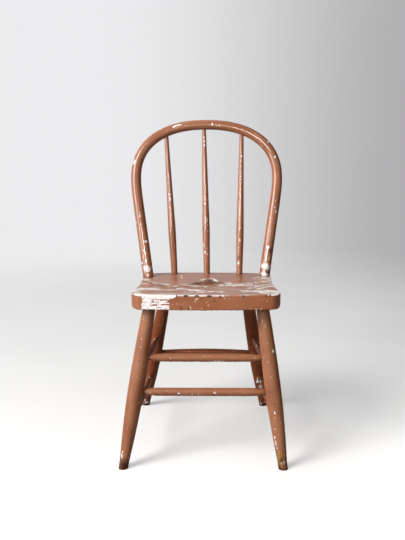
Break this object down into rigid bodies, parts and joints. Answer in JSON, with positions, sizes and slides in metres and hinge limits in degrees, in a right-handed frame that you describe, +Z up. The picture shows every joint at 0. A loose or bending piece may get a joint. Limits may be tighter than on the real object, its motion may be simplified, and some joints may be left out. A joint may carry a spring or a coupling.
{
  "type": "child hoop-back chair",
  "caption": "Small child's wooden chair with a waisted plank seat, a bent hoop back with slim turned spindles, splayed turned legs and stretchers, in worn brown paint.",
  "frame": {"origin": "centre of the bounding box at floor level", "axes": "+Z up, -Y towards the front edge of the seat, +X to the right of someone who looks at the front"},
  "size_m": [0.3528, 0.373, 0.7016],
  "materials": {
    "painted_wood": "old semi-gloss terracotta brown paint, chipped and peeling to cream undercoat"
  },
  "bodies": {
    "root": {"seat": "painted_wood", "bow": "painted_wood", "spindle_left": "painted_wood", "spindle_center": "painted_wood", "spindle_right": "painted_wood", "leg_front_left": "painted_wood", "leg_front_right": "painted_wood", "leg_rear_left": "painted_wood", "leg_rear_right": "painted_wood", "stretcher_front_upper": "painted_wood", "stretcher_front_lower": "painted_wood", "stretcher_left_upper": "painted_wood", "stretcher_left_lower": "painted_wood", "stretcher_right_upper": "painted_wood", "stretcher_right_lower": "painted_wood", "stretcher_rear": "painted_wood"}
  },
  "joints": []
}
